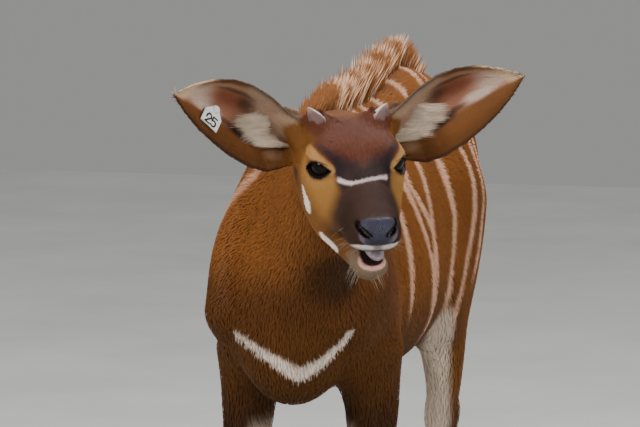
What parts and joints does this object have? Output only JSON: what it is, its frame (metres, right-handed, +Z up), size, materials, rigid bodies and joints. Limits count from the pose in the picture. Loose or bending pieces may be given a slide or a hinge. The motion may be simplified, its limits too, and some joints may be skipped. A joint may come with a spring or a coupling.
{
  "type": "bongo antelope calf",
  "caption": "Still, life-size model of a standing bongo antelope calf with a striped coat, a dorsal crest, horn buds, its head turned to its left and an ear tag.",
  "frame": {"origin": "on the floor under the middle of the bounding box", "axes": "+Z up, the calf's body faces -Y and its left side is at +X"},
  "size_m": [0.4423, 1.1145, 0.899],
  "materials": {
    "coat": "short chestnut fur with pale stripes",
    "ear": "short fur, paler hair inside",
    "eye": "wet gloss",
    "horn": "dull horn",
    "hoof": "satin black horn",
    "tongue": "moist",
    "tag": "white with a plain black number"
  },
  "bodies": {
    "root": {"torso": "coat", "neck": "coat", "head": "coat", "tail": "coat", "ear_left": "ear", "ear_right": "ear", "eye_left": "eye", "eye_right": "eye", "horn_left": "horn", "horn_right": "horn", "foreleg_left": "coat", "foreleg_right": "coat", "hindleg_left": "coat", "hindleg_right": "coat", "claw_fore_left_inner": "hoof", "claw_fore_left_outer": "hoof", "claw_fore_right_inner": "hoof", "claw_fore_right_outer": "hoof", "claw_hind_left_inner": "hoof", "claw_hind_left_outer": "hoof", "claw_hind_right_inner": "hoof", "claw_hind_right_outer": "hoof", "dewclaw_fore_left_inner": "hoof", "dewclaw_fore_left_outer": "hoof", "dewclaw_fore_right_inner": "hoof", "dewclaw_fore_right_outer": "hoof", "dewclaw_hind_left_inner": "hoof", "dewclaw_hind_left_outer": "hoof", "dewclaw_hind_right_inner": "hoof", "dewclaw_hind_right_outer": "hoof", "tongue": "tongue", "tag_panel": "tag", "tag_pin": "tag"}
  },
  "joints": []
}
